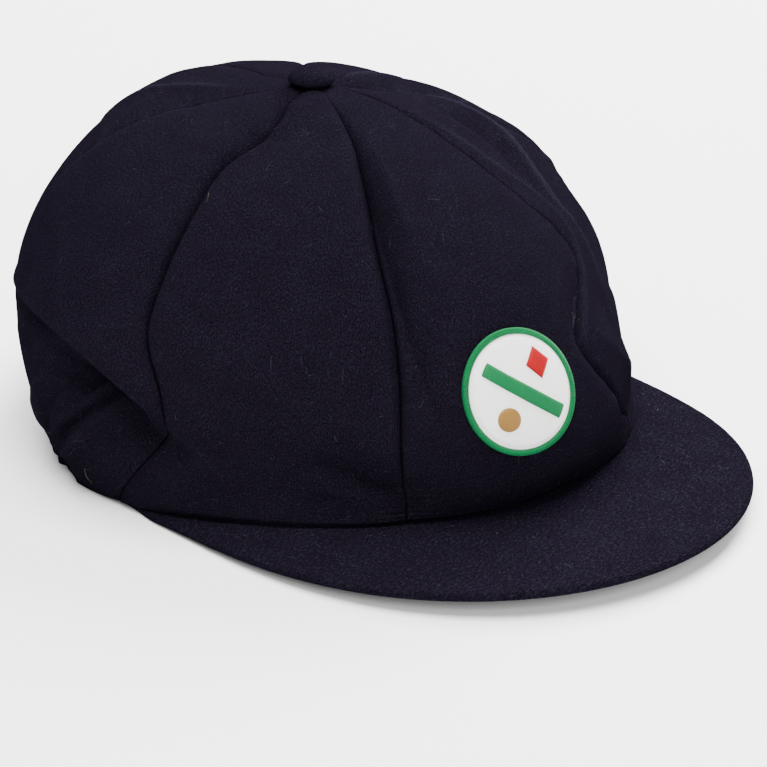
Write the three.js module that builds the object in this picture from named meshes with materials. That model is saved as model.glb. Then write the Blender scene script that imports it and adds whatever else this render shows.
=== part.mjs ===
// A baggy cricket cap in navy wool: eight crown panels, a covered button, a peak and a round cloth badge.
// Millimetres, +Z up. The peak points to -Y, the wearer's left is +X, and the cap stands on z = 0.
//
// Places on the crown have two numbers. The angle goes round the head in degrees, 0 at the front and
// positive to the wearer's left. The share goes down the cloth from 0 at the button to 1 at the hem.

import * as THREE from 'three';

// Crown
const OPENING_FRONT = 98; // from the crown's centre to the hem in front
const OPENING_BACK = 77; // to the hem at the back, which elastic draws in
const OPENING_SIDE = 88.5; // to the hem at each side
const CROWN_HEIGHT = 100; // top of the cloth above the table
const BUTTON_BACKSET = 7; // the button lies behind the crown's centre
const CLOTH = 2; // thickness of a panel
const SEAM_GAP = 0.3; // between two panels
const TIP_HOLE = 2.6; // radius at which the panels' tips end, under the button

// Button
const BUTTON_RADIUS = 6.8;
const BUTTON_HEIGHT = 4.4;

// Peak
const PEAK_REACH = 49; // from the hem to the tip
const PEAK_THICKNESS = 2.6;
const PEAK_TIP_HEIGHT = 8; // top of the tip above the table
const PEAK_MARGIN = 5; // width sewn inside the crown's wall
const PEAK_END_RIGHT = 81; // angle at which the peak runs out, on the wearer's right
const PEAK_END_LEFT = 82;
const PEAK_ROUND = 2; // exponents of the peak's outline: how full its middle is
const PEAK_TAPER = 2.6; // and how slowly its ends run out
const PEAK_TURN = 0.5; // how far the middle of the peak is off the front, towards the wearer's left
const PEAK_TUCK = 3; // how far its ends draw back under the crown's wall

// Badge
const BADGE_RADIUS = 17.6;
const BADGE_THICKNESS = 1.2;
const BADGE_BORDER = 1.8; // width of the green ring
const MOTIF_THICKNESS = 0.7;
const BADGE_ANGLE = -5;
const BADGE_SHARE = 0.535;

const CLEARANCE = 0.3; // between pieces that are sewn together

// The crown's wall at five angles, the same on both sides. The lengths lift, widest and bulge are shares:
// lift and widest are the heights of the hem and of the widest line in crown heights, and bulge is how far
// the cloth hangs out past the hem in side openings. The other columns shape the two curves that meet on
// the widest line: crest and shoulder the upper one, fold, flare and rise the lower one.
const SECTIONS = [
  { angle: 0, lift: 0.09, bulge: 0.05, widest: 0.2, crest: 0.61,
    shoulder: 0.52, fold: 0.35, flare: 0.6, rise: 0.4 },
  { angle: 45, lift: 0.068, bulge: -0.055, widest: 0.19, crest: 0.61,
    shoulder: 0.53, fold: 0.35, flare: 0.6, rise: 0.4 },
  { angle: 90, lift: 0.004, bulge: 0.054, widest: 0.31, crest: 0.56,
    shoulder: 0.53, fold: 0.35, flare: 0.5, rise: 0.4 },
  { angle: 135, lift: 0.008, bulge: 0.105, widest: 0.42, crest: 0.59,
    shoulder: 0.56, fold: 0.25, flare: 0.15, rise: 0.45 },
  { angle: 180, lift: -0.006, bulge: 0.25, widest: 0.39, crest: 0.62,
    shoulder: 0.58, fold: 0.25, flare: 0.1, rise: 0.45 },
];
const WIDEST_SHARE = 0.66; // share of the cloth above the widest line

// The eight seams in order round the head. The angles and depths are those at SEAM_SHARES. The depth of the
// valley is in crown heights, and so are right and left, the widths over which its two banks rise.
const SEAM_SHARES = [0, 0.05, 0.1, 0.15, 0.2, 0.3, 0.4, 0.5, 0.6, 0.7, 0.85, 1];
const SEAMS = [
  { name: 'back_right', angles: [-165, -174, -179, -181, -181, -178, -172, -166, -162, -160, -160, -160.6],
    depths: [0.004, 0.008, 0.01, 0.012, 0.014, 0.016, 0.014, 0.012, 0.012, 0.014, 0.01, 0.006],
    right: 0.03, left: 0.03 },
  { name: 'right_back', angles: [-122, -128, -131, -132, -132, -130, -128, -123, -120, -119, -120, -121.8],
    depths: [0.004, 0.014, 0.022, 0.029, 0.034, 0.04, 0.034, 0.02, 0.012, 0.014, 0.01, 0.006],
    right: 0.055, left: 0.022 },
  { name: 'side_right', angles: [-66, -73, -65.5, -70.5, -76.5, -76, -75.8, -75, -69, -71, -75.5, -81],
    depths: [0.004, 0.024, 0.05, 0.06, 0.056, 0.044, 0.034, 0.024, 0.016, 0.012, 0.01, 0.006],
    right: 0.036, left: 0.016 },
  { name: 'front_right', angles: [-9, -12.5, -15.5, -18.5, -21, -24, -24.5, -25.3, -26, -25.5, -25.2, -25],
    depths: [0.004, 0.014, 0.022, 0.026, 0.03, 0.036, 0.036, 0.03, 0.018, 0.009, 0.008, 0.005],
    right: 0.014, left: 0.05 },
  { name: 'front_left', angles: [40, 36, 31, 27, 24, 24, 27, 13, 20, 27, 30, 28],
    depths: [0.004, 0.009, 0.012, 0.01, 0.009, 0.01, 0.018, 0.042, 0.03, 0.016, 0.01, 0.006],
    right: 0.012, left: 0.013 },
  { name: 'side_left', angles: [68, 74, 78, 81, 84, 83, 80, 78, 77, 78, 80, 83],
    depths: [0.004, 0.03, 0.045, 0.048, 0.04, 0.016, 0.01, 0.012, 0.012, 0.012, 0.01, 0.006],
    right: 0.035, left: 0.045 },
  { name: 'left_back', angles: [114, 114, 114, 113.5, 113, 113, 114, 115, 117, 119, 120, 121.8],
    depths: [0.004, 0.014, 0.022, 0.026, 0.028, 0.022, 0.018, 0.014, 0.012, 0.014, 0.01, 0.006],
    right: 0.045, left: 0.045 },
  { name: 'back_left', angles: [150, 148, 146, 146, 147, 150, 153, 156, 158, 159, 160, 160.6],
    depths: [0.004, 0.008, 0.01, 0.012, 0.014, 0.016, 0.016, 0.012, 0.012, 0.014, 0.01, 0.006],
    right: 0.03, left: 0.03 },
];
const PANELS = ['crown_back_right', 'crown_side_right', 'crown_front_right', 'crown_front',
  'crown_front_left', 'crown_side_left', 'crown_back_left', 'crown_back'];

// Folds of the slack cloth. Each runs along a path of places on the crown, [angle, share].
// Width and height are in crown heights, and a negative height is a hollow.
const FOLDS = [
  { name: 'right tuck', path: [[-101, 0.645], [-86, 0.635], [-64, 0.7]], width: 0.07, height: -0.04 },
  { name: 'left tuck', path: [[118, 0.68], [94, 0.645], [72, 0.7]], width: 0.07, height: -0.03 },
  { name: 'slope below the right tuck',
    path: [[-66, 0.66], [-60, 0.72], [-55, 0.82]],
    width: 0.05, height: 0.012 },
  { name: 'nose of the front right panel',
    path: [[-52, 0.05], [-57, 0.09], [-62, 0.14]],
    width: 0.036, height: 0.022 },
  { name: 'hollow beside the front right seam',
    path: [[-20, 0.14], [-22.5, 0.3], [-22.5, 0.42], [-20, 0.58]],
    width: 0.034, height: -0.034 },
  { name: 'crest beside the front right seam',
    path: [[-9, 0.1], [-14, 0.2], [-15.5, 0.3], [-13.5, 0.42]],
    width: 0.04, height: 0.013 },
  { name: 'crest beside the front left seam',
    path: [[33, 0.06], [32, 0.15], [29, 0.25], [34, 0.355], [25, 0.435], [16, 0.48]],
    width: 0.03, height: 0.01 },
  { name: 'crest across the front left panel',
    path: [[74, 0.15], [63, 0.25], [45, 0.335], [34, 0.42], [27, 0.54]],
    width: 0.03, height: 0.026 },
  { name: 'hollow between the crests',
    path: [[60, 0.14], [53, 0.23], [44, 0.3], [37, 0.38]],
    width: 0.032, height: -0.024 },
  { name: 'hollow beyond the crests',
    path: [[88, 0.26], [70, 0.33], [52, 0.4], [42, 0.52]],
    width: 0.06, height: -0.028 },
  { name: 'flat above the left tuck',
    path: [[77, 0.41], [63, 0.5], [48, 0.57]],
    width: 0.07, height: -0.026 },
  { name: 'puff of the side left panel',
    path: [[88, 0.32], [82, 0.38], [76, 0.46]],
    width: 0.05, height: 0.012 },
  { name: 'pinch',
    path: [[24, 0.42], [13, 0.475], [14, 0.53], [20, 0.62]],
    width: 0.03, height: -0.022 },
  { name: 'crest below the pinch',
    path: [[17, 0.49], [24, 0.555], [33, 0.63], [41, 0.73]],
    width: 0.034, height: 0.012 },
  { name: 'crest beyond the pinch',
    path: [[30, 0.5], [29, 0.6], [33, 0.7]],
    width: 0.04, height: 0.012 },
  { name: 'dimple above the hem',
    path: [[-45, 0.63], [-34, 0.65], [-26, 0.71]],
    width: 0.032, height: -0.03 },
  { name: 'crest below the dimple',
    path: [[-44, 0.7], [-35, 0.72], [-28, 0.78]],
    width: 0.03, height: 0.01 },
  { name: 'crest above the right back seam',
    path: [[-147, 0.1], [-151, 0.18], [-155, 0.27], [-152, 0.36]],
    width: 0.035, height: 0.014 },
  { name: 'puff behind the button',
    path: [[178, 0.08], [-175, 0.22], [-164, 0.4]],
    width: 0.28, height: 0.018 },
  { name: 'puff of the right back panel',
    path: [[-150, 0.2], [-130, 0.34], [-112, 0.46]],
    width: 0.16, height: 0.02 },
  { name: 'puff left of the button',
    path: [[98, 0.05], [103, 0.1], [98, 0.18]],
    width: 0.06, height: 0.014 },
  { name: 'hollow under the right lip',
    path: [[-98, 0.6], [-88, 0.6], [-78, 0.625], [-70, 0.69]],
    width: 0.045, height: -0.046 },
  { name: 'first right pleat',
    path: [[-95, 0.55], [-97, 0.63], [-101, 0.73], [-104, 0.86], [-105, 1]],
    width: 0.017, height: 0.021 },
  { name: 'second right pleat',
    path: [[-91, 0.6], [-94, 0.67], [-99, 0.78], [-104, 0.92], [-107, 1.02]],
    width: 0.02, height: -0.028 },
  { name: 'third right pleat',
    path: [[-83, 0.6], [-87, 0.66], [-91, 0.74], [-98, 0.87], [-104, 1.02]],
    width: 0.014, height: 0.03 },
  { name: 'fourth right pleat',
    path: [[-83, 0.62], [-88, 0.71], [-92, 0.78], [-98, 0.88], [-102, 1.02]],
    width: 0.013, height: -0.034 },
  { name: 'sixth right pleat',
    path: [[-79, 0.61], [-83, 0.67], [-87, 0.76], [-92, 0.86], [-99, 0.97]],
    width: 0.017, height: 0.028 },
  { name: 'seventh right pleat',
    path: [[-77, 0.66], [-81, 0.76], [-87, 0.88]],
    width: 0.018, height: -0.01 },
  { name: 'nip at the right back hem',
    path: [[-94, 0.97], [-102, 0.98], [-112, 0.97]],
    width: 0.07, height: -0.024 },
  { name: 'fifth right pleat',
    path: [[-103, 0.6], [-106, 0.72], [-110, 0.9]],
    width: 0.03, height: -0.006 },
  { name: 'first left pleat', path: [[95, 0.6], [100, 0.76], [98, 0.96]], width: 0.045, height: 0.022 },
  { name: 'second left pleat',
    path: [[84, 0.63], [90, 0.76], [92, 0.92]],
    width: 0.035, height: -0.014 },
  { name: 'right back pleat',
    path: [[-140, 0.62], [-137, 0.78], [-142, 0.97]],
    width: 0.05, height: -0.03 },
  { name: 'left back pleat', path: [[138, 0.62], [141, 0.78], [136, 0.97]], width: 0.05, height: -0.03 },
];
const FOLD_CREST = 1.4; // exponent of a fold's profile: a bell at 2, a sharp edge at 1
const TIP_RISE = 0.024; // the panels' tips lie over each other under the button and lift it
const TIP_REACH = 0.09; // share of the cloth over which they do

// Lips are steps along a path, where baggy cloth hangs over the part that is drawn in below it. All four
// lengths are in crown heights: how far the step is felt, its height, its edge and how far the cloth drops.
const LIPS = [
  { name: 'lip over the right tuck',
    path: [[-124, 0.585], [-108, 0.535], [-93, 0.52], [-77, 0.565], [-60, 0.655]],
    reach: 0.12, height: 0.034, edge: 0.055, drop: 0.045 },
  { name: 'lip over the left tuck',
    path: [[66, 0.64], [80, 0.55], [96, 0.525], [124, 0.58]],
    reach: 0.12, height: 0.026, edge: 0.055, drop: 0.04 },
  { name: 'lip over the back tuck',
    path: [[146, 0.59], [180, 0.56], [214, 0.59]],
    reach: 0.12, height: 0.012, edge: 0.055, drop: 0.025 },
];

// Small even gathers where the hem is drawn in at the back
const GATHER_COUNT = 24;
const GATHER_HEIGHT = 0.009; // in crown heights
const GATHER_START = 85; // angle at which they begin

const DEGREE = Math.PI / 180;
const bezier = (a, b, c, d, u) =>
  a * (1 - u) ** 3 + 3 * b * u * (1 - u) ** 2 + 3 * c * u * u * (1 - u) + d * u ** 3;
const smooth = (low, high, x) => THREE.MathUtils.smoothstep(x, low, high);
const wrapped = (angle) => THREE.MathUtils.euclideanModulo(angle + 180, 360) - 180;

// The curve through evenly or unevenly spaced values, as a smooth step between neighbours' slopes
function through(places, values, x) {
  const last = places.length - 1;
  let k = 0;
  while (k < last - 1 && x > places[k + 1]) k += 1;
  const slope = (i) => {
    const low = Math.max(i - 1, 0), high = Math.min(i + 1, last);
    return (values[high] - values[low]) / (places[high] - places[low]);
  };
  const step = places[k + 1] - places[k];
  const u = (x - places[k]) / step;
  return values[k] * (1 + 2 * u) * (1 - u) ** 2 + values[k + 1] * u * u * (3 - 2 * u)
    + step * slope(k) * u * (1 - u) ** 2 - step * slope(k + 1) * u * u * (1 - u);
}

// One column of SECTIONS at an angle. The rows go on past both ends as their own mirror image.
const mirrored = (rows) => [rows[1], ...rows, rows[rows.length - 2]];
const sectionAngles = [-SECTIONS[1].angle, ...SECTIONS.map((s) => s.angle),
  360 - SECTIONS[SECTIONS.length - 2].angle];
const sectionColumn = (name, angle) =>
  through(sectionAngles, mirrored(SECTIONS).map((s) => s[name]), Math.abs(wrapped(angle)));

function hemRadius(angle) {
  const forward = Math.cos(angle * DEGREE), aside = Math.sin(angle * DEGREE);
  return 1 / Math.hypot(forward / (forward > 0 ? OPENING_FRONT : OPENING_BACK), aside / OPENING_SIDE);
}

const hemHeight = (angle) => Math.max(sectionColumn('lift', angle), 0) * CROWN_HEIGHT;

// The crown without its folds
function smoothCrown(angle, share) {
  const at = (name) => sectionColumn(name, angle);
  const hem = hemRadius(angle), wide = hem + at('bulge') * OPENING_SIDE;
  const low = hemHeight(angle), middle = at('widest') * CROWN_HEIGHT;
  let radius, height, back = 0;
  if (share <= WIDEST_SHARE) {
    const u = share / WIDEST_SHARE;
    radius = bezier(0, at('crest') * wide, wide, wide, u);
    height = bezier(CROWN_HEIGHT, CROWN_HEIGHT, middle + at('shoulder') * (CROWN_HEIGHT - middle), middle, u);
    back = BUTTON_BACKSET * (1 - (radius / wide) ** 2);
  } else {
    const u = (share - WIDEST_SHARE) / (1 - WIDEST_SHARE);
    radius = bezier(wide, wide, hem + at('flare') * (wide - hem), hem, u);
    height = bezier(middle, middle - at('fold') * (middle - low), low + at('rise') * (middle - low), low, u);
  }
  return new THREE.Vector3(radius * Math.sin(angle * DEGREE), back - radius * Math.cos(angle * DEGREE), height);
}

// The downward and outward directions of the crown without its folds
function crownDirections(angle, share) {
  const down = smoothCrown(angle, Math.min(share + 0.004, 1));
  down.sub(smoothCrown(angle, share - 0.004)).normalize();
  const along = smoothCrown(angle + 0.5, share).sub(smoothCrown(angle - 0.5, share));
  return { down, outward: down.clone().cross(along).normalize() };
}

// A path as points on the crown, with its share and its strength at each. It fades out at both ends.
const PATH_STEPS = 16;
function followed({ path }) {
  const angles = [path[0][0]];
  for (let k = 1; k < path.length; k += 1) angles.push(angles[k - 1] + wrapped(path[k][0] - path[k - 1][0]));
  const at = path.map((_, k) => k / (path.length - 1));
  const steps = [];
  for (let i = 0; i <= PATH_STEPS; i += 1) {
    const u = i / PATH_STEPS, share = through(at, path.map((place) => place[1]), u);
    const strength = Math.sin(Math.PI * u) ** 0.6;
    steps.push({ point: smoothCrown(through(at, angles, u), share), share, strength });
  }
  return steps;
}
const folds = FOLDS.map((fold) => ({ ...fold, steps: followed(fold) }));
const lips = LIPS.map((lip) => ({ ...lip, steps: followed(lip) }));

// Distance to a path in crown heights, negative above it and positive below it, and the strength there
function nearPath(steps, share, point) {
  let nearest = Infinity, strength = 0, level = 0;
  for (let i = 0; i < PATH_STEPS; i += 1) {
    const [a, b] = [steps[i], steps[i + 1]];
    const along = b.point.clone().sub(a.point), offset = point.clone().sub(a.point);
    const u = THREE.MathUtils.clamp(offset.dot(along) / along.lengthSq(), 0, 1);
    const distance = offset.addScaledVector(along, -u).length();
    if (distance < nearest) {
      nearest = distance;
      strength = THREE.MathUtils.lerp(a.strength, b.strength, u);
      level = THREE.MathUtils.lerp(a.share, b.share, u);
    }
  }
  return { distance: (share < level ? -nearest : nearest) / CROWN_HEIGHT, strength };
}

const seamAngle = (seam, share) => through(SEAM_SHARES, seam.angles, share);

// Depth of the seams' valleys. Where valleys meet, their fourth powers add, so the deepest rules.
function seamValleys(angle, share, point) {
  const radius = Math.hypot(point.x, point.y - BUTTON_BACKSET * (1 - share) ** 2);
  let powers = 0;
  for (const seam of SEAMS) {
    const aside = wrapped(angle - seamAngle(seam, share)) * DEGREE * radius / CROWN_HEIGHT;
    const bank = aside < 0 ? seam.right : seam.left;
    powers += (through(SEAM_SHARES, seam.depths, share) * Math.exp(-Math.abs(aside) / bank)) ** 4;
  }
  return powers ** 0.25;
}

// How far seams, folds, lips and gathers move the cloth out from the smooth crown, and how far it leans down
function relief(angle, share, point) {
  let height = -seamValleys(angle, share, point), lean = 0;
  const settled = smooth(0, 0.08, share);
  for (const fold of folds) {
    const { distance, strength } = nearPath(fold.steps, share, point);
    height += fold.height * settled * strength * Math.exp(-((Math.abs(distance) / fold.width) ** FOLD_CREST));
  }
  for (const lip of lips) {
    const { distance, strength } = nearPath(lip.steps, share, point);
    const step = Math.tanh(2 * distance / lip.edge - 1.4) * Math.exp(-Math.abs(distance) / lip.reach);
    height -= lip.height * strength * step;
    lean += lip.drop * strength * Math.exp(-((distance / lip.edge) ** 2));
  }
  const behind = smooth(GATHER_START, GATHER_START + 35, Math.abs(wrapped(angle)));
  const drawnIn = behind * smooth(0.68, 0.92, share);
  height += GATHER_HEIGHT * drawnIn * Math.cos(GATHER_COUNT * angle * DEGREE);
  height += TIP_RISE * Math.exp(-((share / TIP_REACH) ** 2));
  return { height: height * CROWN_HEIGHT, lean: lean * CROWN_HEIGHT };
}

// A point of the finished crown, a given distance out from the cloth's outer face. At the hem both faces
// of the cloth end at the same height, so the cut edge is level.
function crown(angle, share, out = 0) {
  const point = smoothCrown(angle, share);
  const { down, outward } = crownDirections(angle, share);
  const { height, lean } = relief(angle, share, point);
  const hem = point.z;
  point.addScaledVector(outward, height + out).addScaledVector(down, lean);
  if (share === 1) point.z = hem;
  point.z = Math.max(point.z, 0);
  return point;
}

// A closed sheet with two faces. place(u, v, face) gives the outer face for 1 and the inner for 0.
// A ring joins its last column to its first.
function sheet(columns, rows, place, ring = false) {
  const vertices = [], triangles = [];
  const width = ring ? columns : columns + 1;
  for (const face of [1, 0]) {
    for (let j = 0; j <= rows; j += 1) {
      for (let i = 0; i < width; i += 1) vertices.push(...place(i / columns, j / rows, face).toArray());
    }
  }
  const at = (i, j, face) => (1 - face) * width * (rows + 1) + j * width + (i % width);
  const quad = (a, b, c, d) => triangles.push(a, b, c, a, c, d);
  for (let i = 0; i < columns; i += 1) {
    for (let j = 0; j < rows; j += 1) {
      quad(at(i, j, 1), at(i, j + 1, 1), at(i + 1, j + 1, 1), at(i + 1, j, 1));
      quad(at(i, j, 0), at(i + 1, j, 0), at(i + 1, j + 1, 0), at(i, j + 1, 0));
    }
    quad(at(i, 0, 1), at(i + 1, 0, 1), at(i + 1, 0, 0), at(i, 0, 0));
    quad(at(i, rows, 1), at(i, rows, 0), at(i + 1, rows, 0), at(i + 1, rows, 1));
  }
  if (!ring) {
    for (let j = 0; j < rows; j += 1) {
      quad(at(0, j, 1), at(0, j, 0), at(0, j + 1, 0), at(0, j + 1, 1));
      quad(at(columns, j, 1), at(columns, j + 1, 1), at(columns, j + 1, 0), at(columns, j, 0));
    }
  }
  const geometry = new THREE.BufferGeometry();
  geometry.setAttribute('position', new THREE.Float32BufferAttribute(vertices, 3));
  geometry.setIndex(triangles);
  geometry.computeVertexNormals();
  return geometry;
}

const wool = (color) => new THREE.MeshStandardMaterial({ color, roughness: 0.95, metalness: 0 });
const NAVY = wool(0x201e2a), PEAK_NAVY = wool(0x25222f), OFF_WHITE = wool(0xe9e6dc);
const GREEN = wool(0x269656), RED = wool(0xca2730), OCHRE = wool(0xc29d6b);

const cap = new THREE.Group();
function add(name, geometry, material) {
  const mesh = new THREE.Mesh(geometry, material);
  mesh.name = name;
  cap.add(mesh);
}

// Crown panels, each from its own seam to the next. The share of the first row is where the tips end.
const PANEL_COLUMNS = 10;
const PANEL_ROWS = 23;
const tipSlope = 3 * SECTIONS[2].crest * OPENING_SIDE / WIDEST_SHARE;
const TIP_SHARE = TIP_HOLE / tipSlope;
PANELS.forEach((name, k) => {
  const start = SEAMS[k], end = SEAMS[(k + 1) % SEAMS.length];
  const panelPoint = (u, v, face) => {
    const share = THREE.MathUtils.lerp(TIP_SHARE, 1, v);
    const first = seamAngle(start, share);
    const span = THREE.MathUtils.euclideanModulo(seamAngle(end, share) - first, 360);
    const middle = smoothCrown(first + span / 2, share);
    const gap = SEAM_GAP / 2 / Math.hypot(middle.x, middle.y - BUTTON_BACKSET * (1 - share)) / DEGREE;
    const spread = (1 - Math.cos(Math.PI * u)) / 2;
    const even = THREE.MathUtils.lerp(u, spread, 0.7);
    return crown(THREE.MathUtils.lerp(first + gap, first + span - gap, even), share, -CLOTH * (1 - face));
  };
  add(name, sheet(PANEL_COLUMNS, PANEL_ROWS, panelPoint), NAVY);
});

// Covered button, seated on the highest cloth below it
const buttonAxis = smoothCrown(0, 0);
let seat = 0;
for (let angle = -180; angle < 180; angle += 5) {
  for (let share = TIP_SHARE; share < 0.1; share += 0.005) {
    const point = crown(angle, share);
    const aside = Math.hypot(point.x - buttonAxis.x, point.y - buttonAxis.y);
    if (aside < BUTTON_RADIUS) seat = Math.max(seat, point.z);
  }
}
const buttonProfile = [[0, 0], [0.86, 0], [1, 0.18], [0.98, 0.42], [0.86, 0.67], [0.62, 0.87], [0.33, 0.97], [0, 1]]
  .map(([r, z]) => new THREE.Vector2(r * BUTTON_RADIUS, z * BUTTON_HEIGHT));
const button = new THREE.LatheGeometry(buttonProfile, 28);
button.rotateX(Math.PI / 2);
button.translate(buttonAxis.x, buttonAxis.y, seat + CLEARANCE);
add('button', button, NAVY);

// Peak: a crescent that starts inside the hem and droops to the table at its ends
function peakPoint(u, v, face) {
  const angle = THREE.MathUtils.lerp(-PEAK_END_RIGHT, PEAK_END_LEFT, u);
  const turned = angle - PEAK_TURN;
  const aside = Math.abs(turned) / (turned < 0 ? PEAK_END_RIGHT + PEAK_TURN : PEAK_END_LEFT - PEAK_TURN);
  const full = Math.max(1 - aside ** PEAK_ROUND, 0) ** PEAK_TAPER;
  const way = (a) => new THREE.Vector3(Math.sin(a * DEGREE), -Math.cos(a * DEGREE), 0);
  const hem = (a) => way(a).multiplyScalar(hemRadius(a));
  const along = hem(angle + 0.5).sub(hem(angle - 0.5)).normalize();
  const outward = new THREE.Vector3(along.y, -along.x, 0);
  const tuck = PEAK_TUCK * smooth(0.86, 1, aside);
  const joined = hemHeight(angle) - CLEARANCE;
  const thin = Math.min(PEAK_THICKNESS, joined); // the ends are pared down to the room under the hem
  const inside = -(CLOTH + PEAK_MARGIN), reach = PEAK_REACH * full - tuck, half = thin / 2;
  // The last quarter of the rows turns the rounded edge.
  const turn = Math.max(v - 0.75, 0) / 0.25;
  const distance = THREE.MathUtils.lerp(inside, reach - half, Math.min(v / 0.75, 1))
    + half * Math.sin(turn * 75 * DEGREE);
  const thickness = half * Math.cos(turn * 75 * DEGREE);
  const edge = THREE.MathUtils.lerp(thin, PEAK_TIP_HEIGHT, full);
  const outside = THREE.MathUtils.clamp(distance / Math.max(reach, half), 0, 1);
  const point = hem(angle).addScaledVector(outward, distance);
  point.z = THREE.MathUtils.lerp(joined, edge, outside) - half + (face ? thickness : -thickness);
  return point;
}
const PEAK_COLUMNS = 40;
const PEAK_ROWS = 12;
add('peak', sheet(PEAK_COLUMNS, PEAK_ROWS, peakPoint), PEAK_NAVY);

// Badge pieces lie on the front panel. Their places are [across, up] in millimetres from the badge's centre.
const badgeCentre = smoothCrown(BADGE_ANGLE, BADGE_SHARE);
const badgeRadius = Math.hypot(badgeCentre.x, badgeCentre.y);
const badgeStep = 0.01;
const badgeDrop = smoothCrown(BADGE_ANGLE, BADGE_SHARE + badgeStep).distanceTo(badgeCentre) / badgeStep;
const onBadge = (across, up, out) =>
  crown(BADGE_ANGLE + across / badgeRadius / DEGREE, BADGE_SHARE - up / badgeDrop, out);
function badgePiece(name, columns, rows, shape, low, thick, material, ring = false) {
  const place = (u, v, face) => onBadge(...shape(u, v), low + thick * face);
  add(name, sheet(columns, rows, place, ring), material);
}

// A disc as a stretched square, so that it has no pole
const disc = (radius, across = 0, up = 0) => (u, v) => {
  const x = 2 * u - 1, y = 1 - 2 * v;
  return [across + radius * x * Math.sqrt(1 - y * y / 2), up + radius * y * Math.sqrt(1 - x * x / 2)];
};
const groundRadius = BADGE_RADIUS - BADGE_BORDER - CLEARANCE;
const motifLow = CLEARANCE + BADGE_THICKNESS + CLEARANCE;
badgePiece('badge_ground', 10, 10, disc(groundRadius), CLEARANCE, BADGE_THICKNESS, OFF_WHITE);
badgePiece('badge_border', 40, 1, (u, v) => {
  const turn = -2 * Math.PI * u, radius = BADGE_RADIUS - BADGE_BORDER * v;
  return [radius * Math.cos(turn), radius * Math.sin(turn)];
}, CLEARANCE, BADGE_THICKNESS, GREEN, true);

// A band slopes across the disc, its ends cut to a circle, with a lozenge above it and a roundel below.
badgePiece('badge_band', 12, 2, (u, v) => {
  const aside = (0.5 - v) * 0.26 * groundRadius, slope = -38 * DEGREE;
  const along = (2 * u - 1) * Math.sqrt((0.84 * groundRadius) ** 2 - aside ** 2);
  const c = Math.cos(slope), s = Math.sin(slope);
  return [along * c - aside * s, along * s + aside * c];
}, motifLow, MOTIF_THICKNESS, GREEN);
badgePiece('badge_lozenge', 2, 2, (u, v) => {
  const size = 0.25 * groundRadius;
  return [0.4 * groundRadius + size * (u - v), 0.44 * groundRadius + size * 1.15 * (1 - u - v)];
}, motifLow, MOTIF_THICKNESS, RED);
badgePiece('badge_roundel', 4, 4, disc(0.21 * groundRadius, -0.38 * groundRadius, -0.42 * groundRadius),
  motifLow, MOTIF_THICKNESS, OCHRE);

// The origin is under the middle of the whole cap, on the table.
const box = new THREE.Box3().setFromObject(cap);
const centre = box.getCenter(new THREE.Vector3());
for (const mesh of cap.children) mesh.geometry.translate(-centre.x, -centre.y, -box.min.z);

export default cap;
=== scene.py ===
# %% [markdown]
# # A cricket cap in navy wool
#
# A cricket cap is eight wedges of milled wool sewn into a baggy crown, with a covered button on top, a
# short stiff peak in front and a round cloth badge. This lesson dresses a plain model of such a cap. The
# plain model gives the size and the place of every piece, and each piece here is a finer surface in the
# same place.
#
# Lengths in the tables are millimetres or shares of a named size, as a pattern cutter would write them.
# Only the last step before a mesh turns them into Blender's metres.

import bpy
import numpy as np
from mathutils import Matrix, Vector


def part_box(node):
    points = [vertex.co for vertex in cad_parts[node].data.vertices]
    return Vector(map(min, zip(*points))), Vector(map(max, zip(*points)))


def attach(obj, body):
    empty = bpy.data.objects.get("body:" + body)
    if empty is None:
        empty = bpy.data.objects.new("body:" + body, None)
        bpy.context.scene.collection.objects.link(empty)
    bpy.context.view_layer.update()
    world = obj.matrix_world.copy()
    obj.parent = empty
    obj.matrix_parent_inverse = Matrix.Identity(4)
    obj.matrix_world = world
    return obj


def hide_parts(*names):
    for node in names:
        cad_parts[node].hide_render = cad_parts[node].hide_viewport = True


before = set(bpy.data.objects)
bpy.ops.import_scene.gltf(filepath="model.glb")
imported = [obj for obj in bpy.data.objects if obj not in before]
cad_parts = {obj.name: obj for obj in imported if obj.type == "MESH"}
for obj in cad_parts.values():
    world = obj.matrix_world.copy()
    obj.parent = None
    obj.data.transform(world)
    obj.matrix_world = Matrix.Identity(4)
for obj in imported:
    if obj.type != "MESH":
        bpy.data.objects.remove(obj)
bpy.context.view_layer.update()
METRE = 0.001  # metres in a millimetre
print("pieces of the plain model:", len(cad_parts))

# %% [markdown]
# ## Sizes of the cap
#
# A place on the crown has two numbers. The angle goes round the head in degrees, 0 at the front and
# positive to the wearer's left. The share goes down the cloth, from 0 at the button to 1 at the hem. The
# whole crown is then one function of two numbers, and every panel, seam, fold and badge is found by asking
# for the same places.

# %% Named sizes
OPENING_FRONT, OPENING_BACK, OPENING_SIDE = 98.0, 77.0, 88.5
CROWN_HEIGHT = 100.0
BUTTON_BACKSET = 7.0
CLOTH = 2.0
TIP_HOLE = 2.6
BUTTON_RADIUS, BUTTON_HEIGHT = 6.8, 4.4
PEAK_REACH, PEAK_THICKNESS, PEAK_TIP_HEIGHT, PEAK_MARGIN = 49.0, 2.6, 8.0, 5.0
PEAK_END_RIGHT, PEAK_END_LEFT, PEAK_ROUND, PEAK_TAPER = 81.0, 82.0, 2.0, 2.6
PEAK_TURN, PEAK_TUCK = 0.5, 3.0
BADGE_RADIUS, BADGE_THICKNESS, BADGE_BORDER, MOTIF_THICKNESS = 17.6, 1.2, 1.8, 0.7
BADGE_ANGLE, BADGE_SHARE = -5.0, 0.535
CLEARANCE = 0.3
CLOTH_LENGTH = 150.0  # down the crown, from the button to the hem
DEGREE = np.pi / 180

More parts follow.
